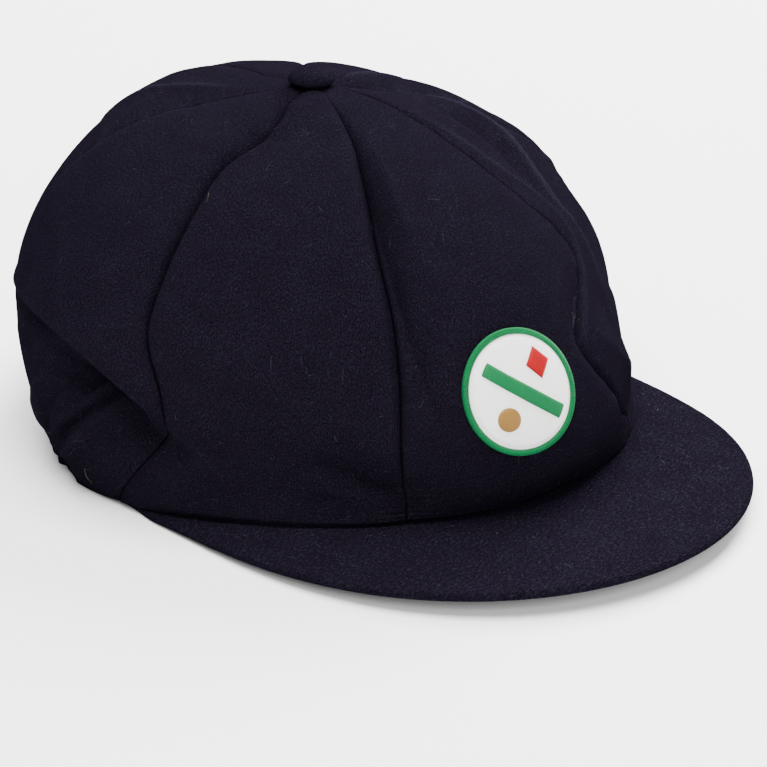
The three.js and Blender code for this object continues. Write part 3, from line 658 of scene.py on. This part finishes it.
def panel_points(start, end, columns, rows):
    """Outer and inner points of one panel, with their places along the cloth and their crests, the painted
    highlight on their bends.
    """
    u, v = grid(columns, rows)
    share = TIP_SHARE + (1 - TIP_SHARE) * v
    first = seam_angle(start, share)
    span = (seam_angle(end, share) - first) % 360
    middle = smooth_crown(first + span / 2, share)
    reach = np.hypot(middle[:, 0], middle[:, 1] - BUTTON_BACKSET * (1 - share))
    gap = VISIBLE_GAP / 2 / reach / DEGREE
    even = EVEN * u + (1 - EVEN) * (1 - np.cos(np.pi * u)) / 2
    angle = first + gap + (span - 2 * gap) * even
    outer, inner = crown(angle, share), crown(angle, share, -CLOTH)
    net = outer.reshape(rows + 1, columns + 1, 3)
    down = np.insert(np.cumsum(np.linalg.norm(np.diff(net, axis=0), axis=-1), axis=0), 0, 0, axis=0)
    across = np.insert(np.cumsum(np.linalg.norm(np.diff(net, axis=1), axis=-1), axis=1), 0, 0, axis=1)
    from_seam = np.minimum(across, across[:, -1:] - across)
    across = across - across[:, columns // 2, None]
    cloth = np.stack([across, down], -1).reshape(-1, 2)
    # Painted highlight on bends: dimmest at one angle round the crown and strongest opposite it, and kept off
    # the rounded edges at the seams.
    highlight_side = (1 - np.cos((angle - DIMMEST_HIGHLIGHT_ANGLE) * DEGREE)) / 2
    crest = (crests(net) * rise_between(SEAM_EDGE, 2.5 * SEAM_EDGE, from_seam)).ravel() * highlight_side
    return np.vstack([outer, inner]), np.vstack([cloth, cloth]), np.append(crest, 0 * crest)


panel_faces = sheet_faces(PANEL_COLUMNS, PANEL_ROWS)
seam_names = list(SEAMS)
for k, name in enumerate(PANELS):
    points, cloth, crest = panel_points(seam_names[k], seam_names[(k + 1) % 8], PANEL_COLUMNS, PANEL_ROWS)
    cloth = cloth + CLOTH_SHIFT * k
    # crest carries the painted highlight on the panel's bends.
    panel = make_piece(name + "_cloth", points, panel_faces, cloth, crown_wool, crest)
    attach(panel, "root")
    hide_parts(name)
    print(panel.name, len(points), "points, highest", round(points[:, 2].max(), 1), "mm, on crests",
          round(float((crest > 0.1).mean()), 2))

# %% [markdown]
# ## Covered button
#
# The button is a domed blank with a circle of the same cloth gathered under it. Its side is nearly upright
# and faintly pleated where the cloth is drawn in, and its top is a low dome.

# %% Button
BUTTON_COLUMNS, BUTTON_ROWS = 96, 60
BUTTON_PLEATS, BUTTON_PLEAT_HEIGHT = 17, 0.008
BUTTON_PROFILE = np.array([(0.0, 0.0), (0.72, 0.0), (0.9, 0.03), (0.99, 0.14), (1.0, 0.3), (0.94, 0.5),
                           (0.82, 0.7), (0.62, 0.87), (0.34, 0.97), (0.0, 1.0)])


def button_points(columns, rows):
    """The profile turned round the button's axis, with pleats that grow towards the bottom.

    On the flat cloth each point is as far from the middle as the way to it over the dome.
    """
    turn = np.linspace(0, 2 * np.pi, columns, endpoint=False)
    way = np.linspace(0, 1, rows + 1)
    places = np.linspace(0, 1, len(BUTTON_PROFILE))
    radius, height = (through(places, BUTTON_PROFILE[:, k], way) for k in (0, 1))
    radius = np.maximum(radius, 0.004)
    pleat = BUTTON_PLEAT_HEIGHT * (1 - rise_between(0.1, 0.75, height)) * rise_between(0.5, 0.9, radius)
    lumps = 0.012 * np.sin(3 * turn + 1) + 0.01 * np.sin(5 * turn + 2)
    wavy = pleat[:, None] * np.sin(BUTTON_PLEATS * turn)
    r = radius[:, None] * (1 + wavy + lumps * rise_between(0.2, 1, radius)[:, None])
    z = np.broadcast_to(height[:, None], r.shape)
    points = np.stack([r * np.cos(turn) * BUTTON_RADIUS, r * np.sin(turn) * BUTTON_RADIUS,
                       z * BUTTON_HEIGHT], -1)
    steps = np.hypot(np.diff(radius) * BUTTON_RADIUS, np.diff(height) * BUTTON_HEIGHT)
    over = np.append(np.cumsum(steps[::-1])[::-1], 0)[:, None]
    cloth = np.stack([over * np.cos(turn), over * np.sin(turn)], -1)
    return points.reshape(-1, 3), cloth.reshape(-1, 2)


def ring_faces(columns, rows):
    """Faces of a tube of rows round an axis."""
    i, j = np.meshgrid(np.arange(columns), np.arange(rows), indexing="ij")
    i, j = i.ravel(), j.ravel()
    return np.stack([j * columns + i, j * columns + (i + 1) % columns,
                     (j + 1) * columns + (i + 1) % columns, (j + 1) * columns + i], -1)


low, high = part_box("button")
points, cloth = button_points(BUTTON_COLUMNS, BUTTON_ROWS)
seat = low[2] / METRE
button_faces = ring_faces(BUTTON_COLUMNS, BUTTON_ROWS)
button = make_piece("button_cloth", points + [0, BUTTON_BACKSET, seat], button_faces, cloth, crown_wool)
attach(button, "root")
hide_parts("button")
print("button seat", round(seat, 2), "mm above the table")

# %% [markdown]
# ## Peak
#
# The peak is a board between two pieces of cloth, turned at the edge. It is stiff, so it has no folds, only
# the faint unevenness of cloth glued to board, and it droops towards its two ends, which reach the table.

# %% Peak
PEAK_COLUMNS, PEAK_ROWS = 260, 120
EDGE_ROWS, EDGE_TURN = 0.75, 86  # the share of rows before the edge, and the degrees the rest turn


def on_peak(angle, distance):
    """Places on the peak's top, a distance outside the hem."""
    radius = hem_radius(angle)
    outline = PEAK_REACH * np.maximum(1 - (np.abs(angle) / PEAK_END_RIGHT) ** PEAK_ROUND, 0) ** PEAK_TAPER
    joined = hem_height(angle) - CLEARANCE
    edge = PEAK_THICKNESS + (PEAK_TIP_HEIGHT - PEAK_THICKNESS) * outline / PEAK_REACH
    height = joined + (edge - joined) * np.clip(distance / np.maximum(outline, 1), 0, 1)
    reach = radius + distance
    return np.stack([reach * np.sin(angle * DEGREE), -reach * np.cos(angle * DEGREE), height], -1)


def peak_points(columns, rows):
    """A crescent: its reach is a rounded power curve of the angle, and its edge turns in a half circle."""
    u, v = grid(columns, rows)
    angle = -PEAK_END_RIGHT + (PEAK_END_RIGHT + PEAK_END_LEFT) * u
    turned = angle - PEAK_TURN
    aside = np.abs(turned) / np.where(turned < 0, PEAK_END_RIGHT + PEAK_TURN, PEAK_END_LEFT - PEAK_TURN)
    full = np.maximum(1 - aside ** PEAK_ROUND, 0) ** PEAK_TAPER

    def hem(a):
        radius = hem_radius(a)
        return np.stack([radius * np.sin(a * DEGREE), -radius * np.cos(a * DEGREE), 0 * a], -1)

    along = hem(angle + 0.5) - hem(angle - 0.5)
    along /= np.linalg.norm(along, axis=-1, keepdims=True)
    outward = np.stack([along[:, 1], -along[:, 0], 0 * angle], -1)
    tuck = PEAK_TUCK * rise_between(0.86, 1, aside)
    thickness = np.minimum(PEAK_THICKNESS, hem_height(angle) - CLEARANCE)
    inside, reach, half = -(CLOTH + PEAK_MARGIN), PEAK_REACH * full - tuck, thickness / 2
    turn = np.maximum(v - EDGE_ROWS, 0) / (1 - EDGE_ROWS) * EDGE_TURN * DEGREE
    distance = inside + (reach - half - inside) * np.minimum(v / EDGE_ROWS, 1) + half * np.sin(turn)
    joined = hem_height(angle) - CLEARANCE
    edge = thickness + (PEAK_TIP_HEIGHT - thickness) * full
    outside = np.clip(distance / np.maximum(reach, half), 0, 1)
    middle = hem(angle) + distance[:, None] * outward
    middle[:, 2] = joined + (edge - joined) * outside - half
    uneven = 0.12 * slack(middle * 1.6) * rise_between(0, 12, distance)
    top, bottom = middle.copy(), middle.copy()
    top[:, 2] += half * np.cos(turn) + uneven
    bottom[:, 2] -= half * np.cos(turn)
    bottom[:, 2] = np.maximum(bottom[:, 2], 0)
    cloth = middle[:, :2] + (half * (turn - np.sin(turn)))[:, None] * outward[:, :2]
    return np.vstack([top, bottom]), np.vstack([cloth, cloth + 40])


points, cloth = peak_points(PEAK_COLUMNS, PEAK_ROWS)
peak = make_piece("peak_cloth", points, sheet_faces(PEAK_COLUMNS, PEAK_ROWS), cloth, peak_wool)
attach(peak, "root")
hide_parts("peak")
print("peak reaches", round(-points[:, 1].min() - OPENING_FRONT, 1), "mm past the hem")

# %% [markdown]
# ## Badge
#
# The badge is a disc of white twill with a motif and an edge in satin stitch. It lies on the front panel
# and follows it. Satin stitch is close parallel threads over a pad, so its surface is a cushion with fine
# ribs.

# %% Badge
badge_centre = smooth_crown(BADGE_ANGLE, BADGE_SHARE)
badge_girth = np.hypot(badge_centre[0], badge_centre[1])
badge_drop = np.linalg.norm(smooth_crown(BADGE_ANGLE, BADGE_SHARE + 0.01) - badge_centre) / 0.01
GROUND_RADIUS = BADGE_RADIUS - BADGE_BORDER - CLEARANCE
STITCH = 0.42  # width of one thread of satin stitch
BAND_WIDTH, BAND_REACH, BAND_SLOPE = 0.26 * GROUND_RADIUS, 0.84 * GROUND_RADIUS, -38.0


def on_badge(across, up, out):
    """Places in millimetres from the badge's centre, laid on the crown's cloth."""
    return crown(BADGE_ANGLE + across / badge_girth / DEGREE, BADGE_SHARE - up / badge_drop, out)


def badge_piece(name, columns, rows, shape, low, height, finish, ring=False):
    """shape gives across and up, and height the thickness, from columns and rows between 0 and 1."""
    if ring:
        v, u = np.meshgrid(np.linspace(0, 1, rows + 1), np.arange(columns) / columns, indexing="ij")
        u, v = u.ravel(), v.ravel()
    else:
        u, v = grid(columns, rows)
    across, up = shape(u, v)
    thick = height(u, v, across, up)
    points = np.vstack([on_badge(across, up, low + thick), on_badge(across, up, low)])
    cloth = np.stack([across, up], -1)
    faces = sheet_faces(columns, rows, ring)
    piece = make_piece(name + "_stitched", points, faces, np.vstack([cloth, cloth]), finish)
    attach(piece, "root")
    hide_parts(name)
    print(piece.name, len(points), "points")


def disc(radius, across=0.0, up=0.0):
    """A disc as a stretched square, so that it has no pole."""
    def shape(u, v):
        x, y = 2 * u - 1, 1 - 2 * v
        return across + radius * x * np.sqrt(1 - y * y / 2), up + radius * y * np.sqrt(1 - x * x / 2)
    return shape


def twill_cloth(name, base):
    """Diagonal ribs of fine thread: two sines across each other give the weave."""
    finish = Finish(name)
    cloth = finish.node("ShaderNodeUVMap", uv_map="cloth")
    ribs = finish.node("ShaderNodeTexWave", {"Vector": cloth, "Scale": 0.9, "Distortion": 0.6, "Detail": 1.0},
                       output=1, wave_type="BANDS", bands_direction="DIAGONAL")
    grain = finish.noise(cloth, 5.0, detail=2.0)
    tone = finish.mix(ribs * 0.1 + grain * 0.12, base, scaled(base, 0.72))
    bump = finish.node("ShaderNodeBump", {"Strength": 0.4, "Distance": 0.00015, "Height": ribs + grain})
    finish.surface(Base_Color=tone, Roughness=0.8, Normal=bump, Sheen_Weight=0.1)
    return finish.material


def thread(name, base):
    """Shiny rayon thread, darker between the stitches, where the noise changes from thread to thread."""
    finish = Finish(name)
    cloth = finish.node("ShaderNodeUVMap", uv_map="cloth")
    grain = finish.noise(cloth, 3.0, detail=3.0, roughness=0.7)
    tone = finish.mix(grain, scaled(base, 0.65), scaled(base, 1.25))
    bump = finish.node("ShaderNodeBump", {"Strength": 0.3, "Distance": 0.0001, "Height": grain})
    finish.surface(Base_Color=tone, Roughness=0.42, Normal=bump, Sheen_Weight=0.01,
                   Specular_IOR_Level=0.1)
    return finish.material


def satin(side, count):
    """A cushion across a satin-stitched shape, with one rounded rib for each of count threads along it."""
    def height(u, v, across, up):
        ends = 1 if side is None else np.clip(1 - (2 * u - 1) ** 8, 0, 1)
        pad = np.clip(1 - (2 * v - 1) ** 4, 0, 1) ** 0.5 * ends
        ribs = np.abs(np.sin(np.pi * count * u))
        return 0.15 + pad * (side or BADGE_THICKNESS) * (0.72 + 0.28 * ribs ** 0.7)
    return height


def ring_shape(u, v):
    turn, radius = -2 * np.pi * u, BADGE_RADIUS - BADGE_BORDER * v
    return radius * np.cos(turn), radius * np.sin(turn)


def band_shape(u, v):
    """A band across the disc, its ends cut to a circle."""
    aside = (0.5 - v) * BAND_WIDTH
    along = (2 * u - 1) * np.sqrt(BAND_REACH ** 2 - aside ** 2)
    c, s = np.cos(BAND_SLOPE * DEGREE), np.sin(BAND_SLOPE * DEGREE)
    return along * c - aside * s, along * s + aside * c


def lozenge_shape(u, v):
    size = 0.25 * GROUND_RADIUS
    return 0.4 * GROUND_RADIUS + size * (u - v), 0.44 * GROUND_RADIUS + size * 1.15 * (1 - u - v)


def ground_height(u, v, across, up):
    """Even, but drawn down where the edge is stitched."""
    return BADGE_THICKNESS * (1 - 0.5 * rise_between(0.9, 1.0, np.hypot(across, up) / GROUND_RADIUS) ** 2)


white_twill = twill_cloth("white twill", colour(241, 241, 239))
green_thread = thread("green thread", colour(5, 98, 54))
red_thread = thread("red thread", colour(146, 3, 12))
ochre_thread = thread("ochre thread", colour(136, 102, 52))
motif_low = CLEARANCE + BADGE_THICKNESS + 0.05
ring_stitches = round(2 * np.pi * BADGE_RADIUS / STITCH)
band_stitches = round(2 * BAND_REACH / STITCH)
badge_piece("badge_ground", 72, 72, disc(GROUND_RADIUS + CLEARANCE), CLEARANCE, ground_height, white_twill)
badge_piece("badge_border", 5 * ring_stitches, 10, ring_shape, CLEARANCE, satin(None, ring_stitches),
            green_thread, True)
badge_piece("badge_band", 6 * band_stitches, 20, band_shape, motif_low, satin(MOTIF_THICKNESS, band_stitches),
            green_thread)
badge_piece("badge_lozenge", 80, 20, lozenge_shape, motif_low, satin(MOTIF_THICKNESS, 13), red_thread)
badge_piece("badge_roundel", 96, 30, disc(0.21 * GROUND_RADIUS, -0.38 * GROUND_RADIUS, -0.42 * GROUND_RADIUS),
            motif_low, satin(MOTIF_THICKNESS, 16), ochre_thread)

# %% [markdown]
# ## Loose fibres
#
# Milled wool sheds. Pale fibres, one to four millimetres long, lie curled on the cloth and catch the light,
# and here and there a longer thread has stuck to it. Each is a flat ribbon along a path that wanders over
# the cloth.

# %% Loose fibres
FIBRE_STEPS, FIBRE_WIDTH = 6, 0.05
CROWN_FIBRES, PEAK_FIBRES = 420, 180
STRAYS = (  # angle, share, length, way in degrees from level, curl, width
    (-88.0, 0.905, 7.5, 78.0, -0.6, 0.3),
    (12.0, 0.46, 3.6, 70.0, 3.2, 0.07), (13.5, 0.455, 4.2, 20.0, -3.4, 0.07),
    (15.0, 0.465, 5.0, -35.0, 2.6, 0.06), (12.5, 0.48, 3.6, -70.0, 4.0, 0.07),
    (16.0, 0.46, 4.4, 140.0, 3.0, 0.06), (-103.0, 0.9, 3.0, 30.0, 2.5, 0.09),
    (-105.0, 0.91, 3.4, 10.0, -2.6, 0.09), (-101.0, 0.92, 2.8, 60.0, 3.0, 0.09),
    (-74.0, 0.255, 3.2, 60.0, 0.8, 0.1), (172.0, 0.12, 3.0, 10.0, 2.4, 0.1),
    (165.0, 0.14, 2.6, 60.0, -2.6, 0.1),
)
fibre_chance = np.random.default_rng(5)
inside = np.array([0, 0, 0.2 * CROWN_HEIGHT])  # a place from which all of the crown faces away


def wander(length, way, curl):
    """Paths that turn evenly: how far along the hem and down the cloth, in millimetres, at each step."""
    s = np.linspace(0, 1, FIBRE_STEPS)
    turn = way[:, None] + curl[:, None] * (s - 0.5)
    step = length[:, None] / (FIBRE_STEPS - 1)
    return np.cumsum(step * np.cos(turn), axis=1), np.cumsum(step * np.sin(turn), axis=1)


def some_fibres(count, short, long):
    """The courses of many fibres, most of them short, and how far each stands up from the cloth."""
    length = short + (long - short) * fibre_chance.random(count) ** 2
    way, curl = fibre_chance.uniform(0, 2 * np.pi, count), 1.3 * fibre_chance.normal(size=count)
    across, down = wander(length, way, curl)
    arch = np.sin(np.linspace(0, 0.8, FIBRE_STEPS) * np.pi)
    return across, down, 0.05 + fibre_chance.uniform(0.05, 0.45, count)[:, None] * arch


def on_crown(angle, share, across, down, lift):
    """Points of fibres that start at places on the crown."""
    middle = smooth_crown(angle, share)
    reach = np.hypot(middle[:, 0], middle[:, 1])[:, None]
    return crown(angle[:, None] + across / reach / DEGREE,
                 np.clip(share[:, None] + down / CLOTH_LENGTH, 0.05, 0.985), lift)


def ribbons(name, paths, up, width, finish):
    """Flat ribbons along rows of points, square to the way up and narrower towards their ends."""
    count, steps = paths.shape[:2]
    side = np.cross(np.gradient(paths, axis=1), up)
    taper = 1 - 0.7 * np.linspace(-1, 1, steps)[:, None] ** 2
    side *= taper * np.reshape(width, (-1, 1, 1)) / 2 / np.linalg.norm(side, axis=-1, keepdims=True)
    points = np.stack([paths - side, paths + side], 2).reshape(-1, 3)
    first = 2 * (np.arange(count)[:, None] * steps + np.arange(steps - 1)).reshape(-1, 1)
    piece = make_piece(name, points, first + [0, 1, 3, 2], finish=finish)
    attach(piece, "root")
    print(piece.name, count, "ribbons")


def fibre_finish(name, dull, pale):
    """Pale wool, lighter and darker from place to place."""
    finish = Finish(name)
    place = finish.node("ShaderNodeTexCoord", output=3)
    tone = finish.noise(place, 900.0, detail=2.0).between(0.35, 0.65)
    finish.surface(Base_Color=finish.mix(tone, dull, pale), Roughness=0.8, Specular_IOR_Level=0.2)
    return finish.material


pale_fibre = fibre_finish("pale fibre", colour(36, 34, 43), colour(66, 63, 76))
thread_fibre = fibre_finish("stray thread", colour(56, 51, 46), colour(80, 74, 66))
where = fibre_chance.uniform(-180, 180, CROWN_FIBRES), 0.08 + 0.89 * fibre_chance.random(CROWN_FIBRES) ** 0.7
paths = on_crown(*where, *some_fibres(CROWN_FIBRES, 0.9, 3.6))
ribbons("crown_fibres", paths, paths - inside, FIBRE_WIDTH, pale_fibre)

angle, share, length, way, curl, width = np.array(STRAYS).T
across, down = wander(length, way * DEGREE, curl)
lift = np.broadcast_to(0.1 + 0.5 * np.sin(np.linspace(0, 0.9, FIBRE_STEPS) * np.pi), across.shape)
paths = on_crown(angle, share, across, down, lift)
ribbons("stray_threads", paths, paths - inside, width, thread_fibre)

across, down, lift = some_fibres(PEAK_FIBRES, 0.8, 3.2)
spot = fibre_chance.uniform(-62, 62, PEAK_FIBRES), fibre_chance.uniform(0.08, 0.95, PEAK_FIBRES)
full = (1 - (np.abs(spot[0]) / PEAK_END_RIGHT) ** PEAK_ROUND) ** PEAK_TAPER
past_hem = spot[1] * (PEAK_REACH * full - 2)
start = on_peak(spot[0], past_hem)
aside, ahead = (on_peak(spot[0] + a, past_hem + b) - start for a, b in ((0.5, 0), (0, 0.5)))
aside /= np.linalg.norm(aside, axis=-1, keepdims=True)
ahead /= np.linalg.norm(ahead, axis=-1, keepdims=True)
paths = start[:, None] + across[..., None] * aside[:, None] + down[..., None] * ahead[:, None]
paths[..., 2] += lift
ribbons("peak_fibres", paths, np.array([0, 0, 1.0]), FIBRE_WIDTH, pale_fibre)

# %% [markdown]
# ## Floor, light and camera
#
# The floor is plain and pale. A large soft light hangs overhead, a smaller one shines from behind the
# wearer's left and a weak one from in front, which together give the even light of a product photograph.
# The camera has a long lens, so the cap hardly widens towards the viewer.

# %% Floor, light and camera
LIGHTS = {  # place and size in metres, power in watts
    "key light": ((-0.05, 0.1, 1.5), 1.3, 78),
    "rim light": ((1.1, 0.5, 0.95), 0.8, 70),
    "front light": ((-0.5, -1.5, 0.9), 1.2, 34),
}
LIGHT_AIM = (0, 0, 0.05)
SKY_STRENGTH = 0.28  # of the even white light from all round


def soft_light(name, place, size, power):
    """A square area light that looks at the middle of the cap."""
    lamp = bpy.data.lights.new(name, "AREA")
    lamp.size, lamp.energy = size, power
    light = bpy.data.objects.new(name, lamp)
    light.location = place
    away = np.array(place) - LIGHT_AIM
    away = away / np.linalg.norm(away)
    side = np.cross([0, 0, 1.0], away)
    side /= np.linalg.norm(side)
    matrix = np.eye(4)
    matrix[:3, 0], matrix[:3, 1], matrix[:3, 2], matrix[:3, 3] = side, np.cross(away, side), away, place
    light.matrix_world = matrix.T.tolist()
    bpy.context.scene.collection.objects.link(light)


CAMERA_AZIMUTH, CAMERA_ELEVATION, CAMERA_DISTANCE = -38.4 * DEGREE, 24.8 * DEGREE, 1.0
PIXELS = 767
PIXELS_PER_METRE = 3320.0  # at the crown's centre
CENTRE_PIXEL = (326.8, 410.2)
backwards = np.array([np.sin(CAMERA_AZIMUTH) * np.cos(CAMERA_ELEVATION),
                      -np.cos(CAMERA_AZIMUTH) * np.cos(CAMERA_ELEVATION), np.sin(CAMERA_ELEVATION)])
sideways = np.array([np.cos(CAMERA_AZIMUTH), np.sin(CAMERA_AZIMUTH), 0])
upwards = np.cross(backwards, sideways)

lens = bpy.data.cameras.new("camera")
lens.sensor_width = 36.0
lens.lens = PIXELS_PER_METRE * CAMERA_DISTANCE / PIXELS * lens.sensor_width
lens.shift_x = (PIXELS / 2 - CENTRE_PIXEL[0]) / PIXELS
lens.shift_y = (CENTRE_PIXEL[1] - PIXELS / 2) / PIXELS
camera = bpy.data.objects.new("camera", lens)
pose = np.eye(4)
pose[:3, 0], pose[:3, 1], pose[:3, 2] = sideways, upwards, backwards
pose[:3, 3] = CENTRE + backwards * CAMERA_DISTANCE
camera.matrix_world = pose.T.tolist()
bpy.context.scene.collection.objects.link(camera)
bpy.context.scene.camera = camera

FLOOR = 3.0
corners = np.array([(-1, -1), (1, -1), (1, 1), (-1, 1)]) * FLOOR
floor_mesh = bpy.data.meshes.new("floor")
floor_mesh.from_pydata([(x, y, 0.0) for x, y in corners], [], [(0, 1, 2, 3)])
floor = bpy.data.objects.new("floor", floor_mesh)
bpy.context.scene.collection.objects.link(floor)
floor_paper = Finish("floor paper")
floor_paper.surface(Base_Color=colour(252, 252, 252), Roughness=0.9)
floor_mesh.materials.append(floor_paper.material)

for name, (place, size, power) in LIGHTS.items():
    soft_light(name, place, size, power)
world = bpy.data.worlds.new("studio")
bpy.context.scene.world = world
world.use_nodes = True
world.node_tree.nodes["Background"].inputs["Color"].default_value = (1, 1, 1, 1)
world.node_tree.nodes["Background"].inputs["Strength"].default_value = SKY_STRENGTH
print("lens in mm:", round(lens.lens, 1))
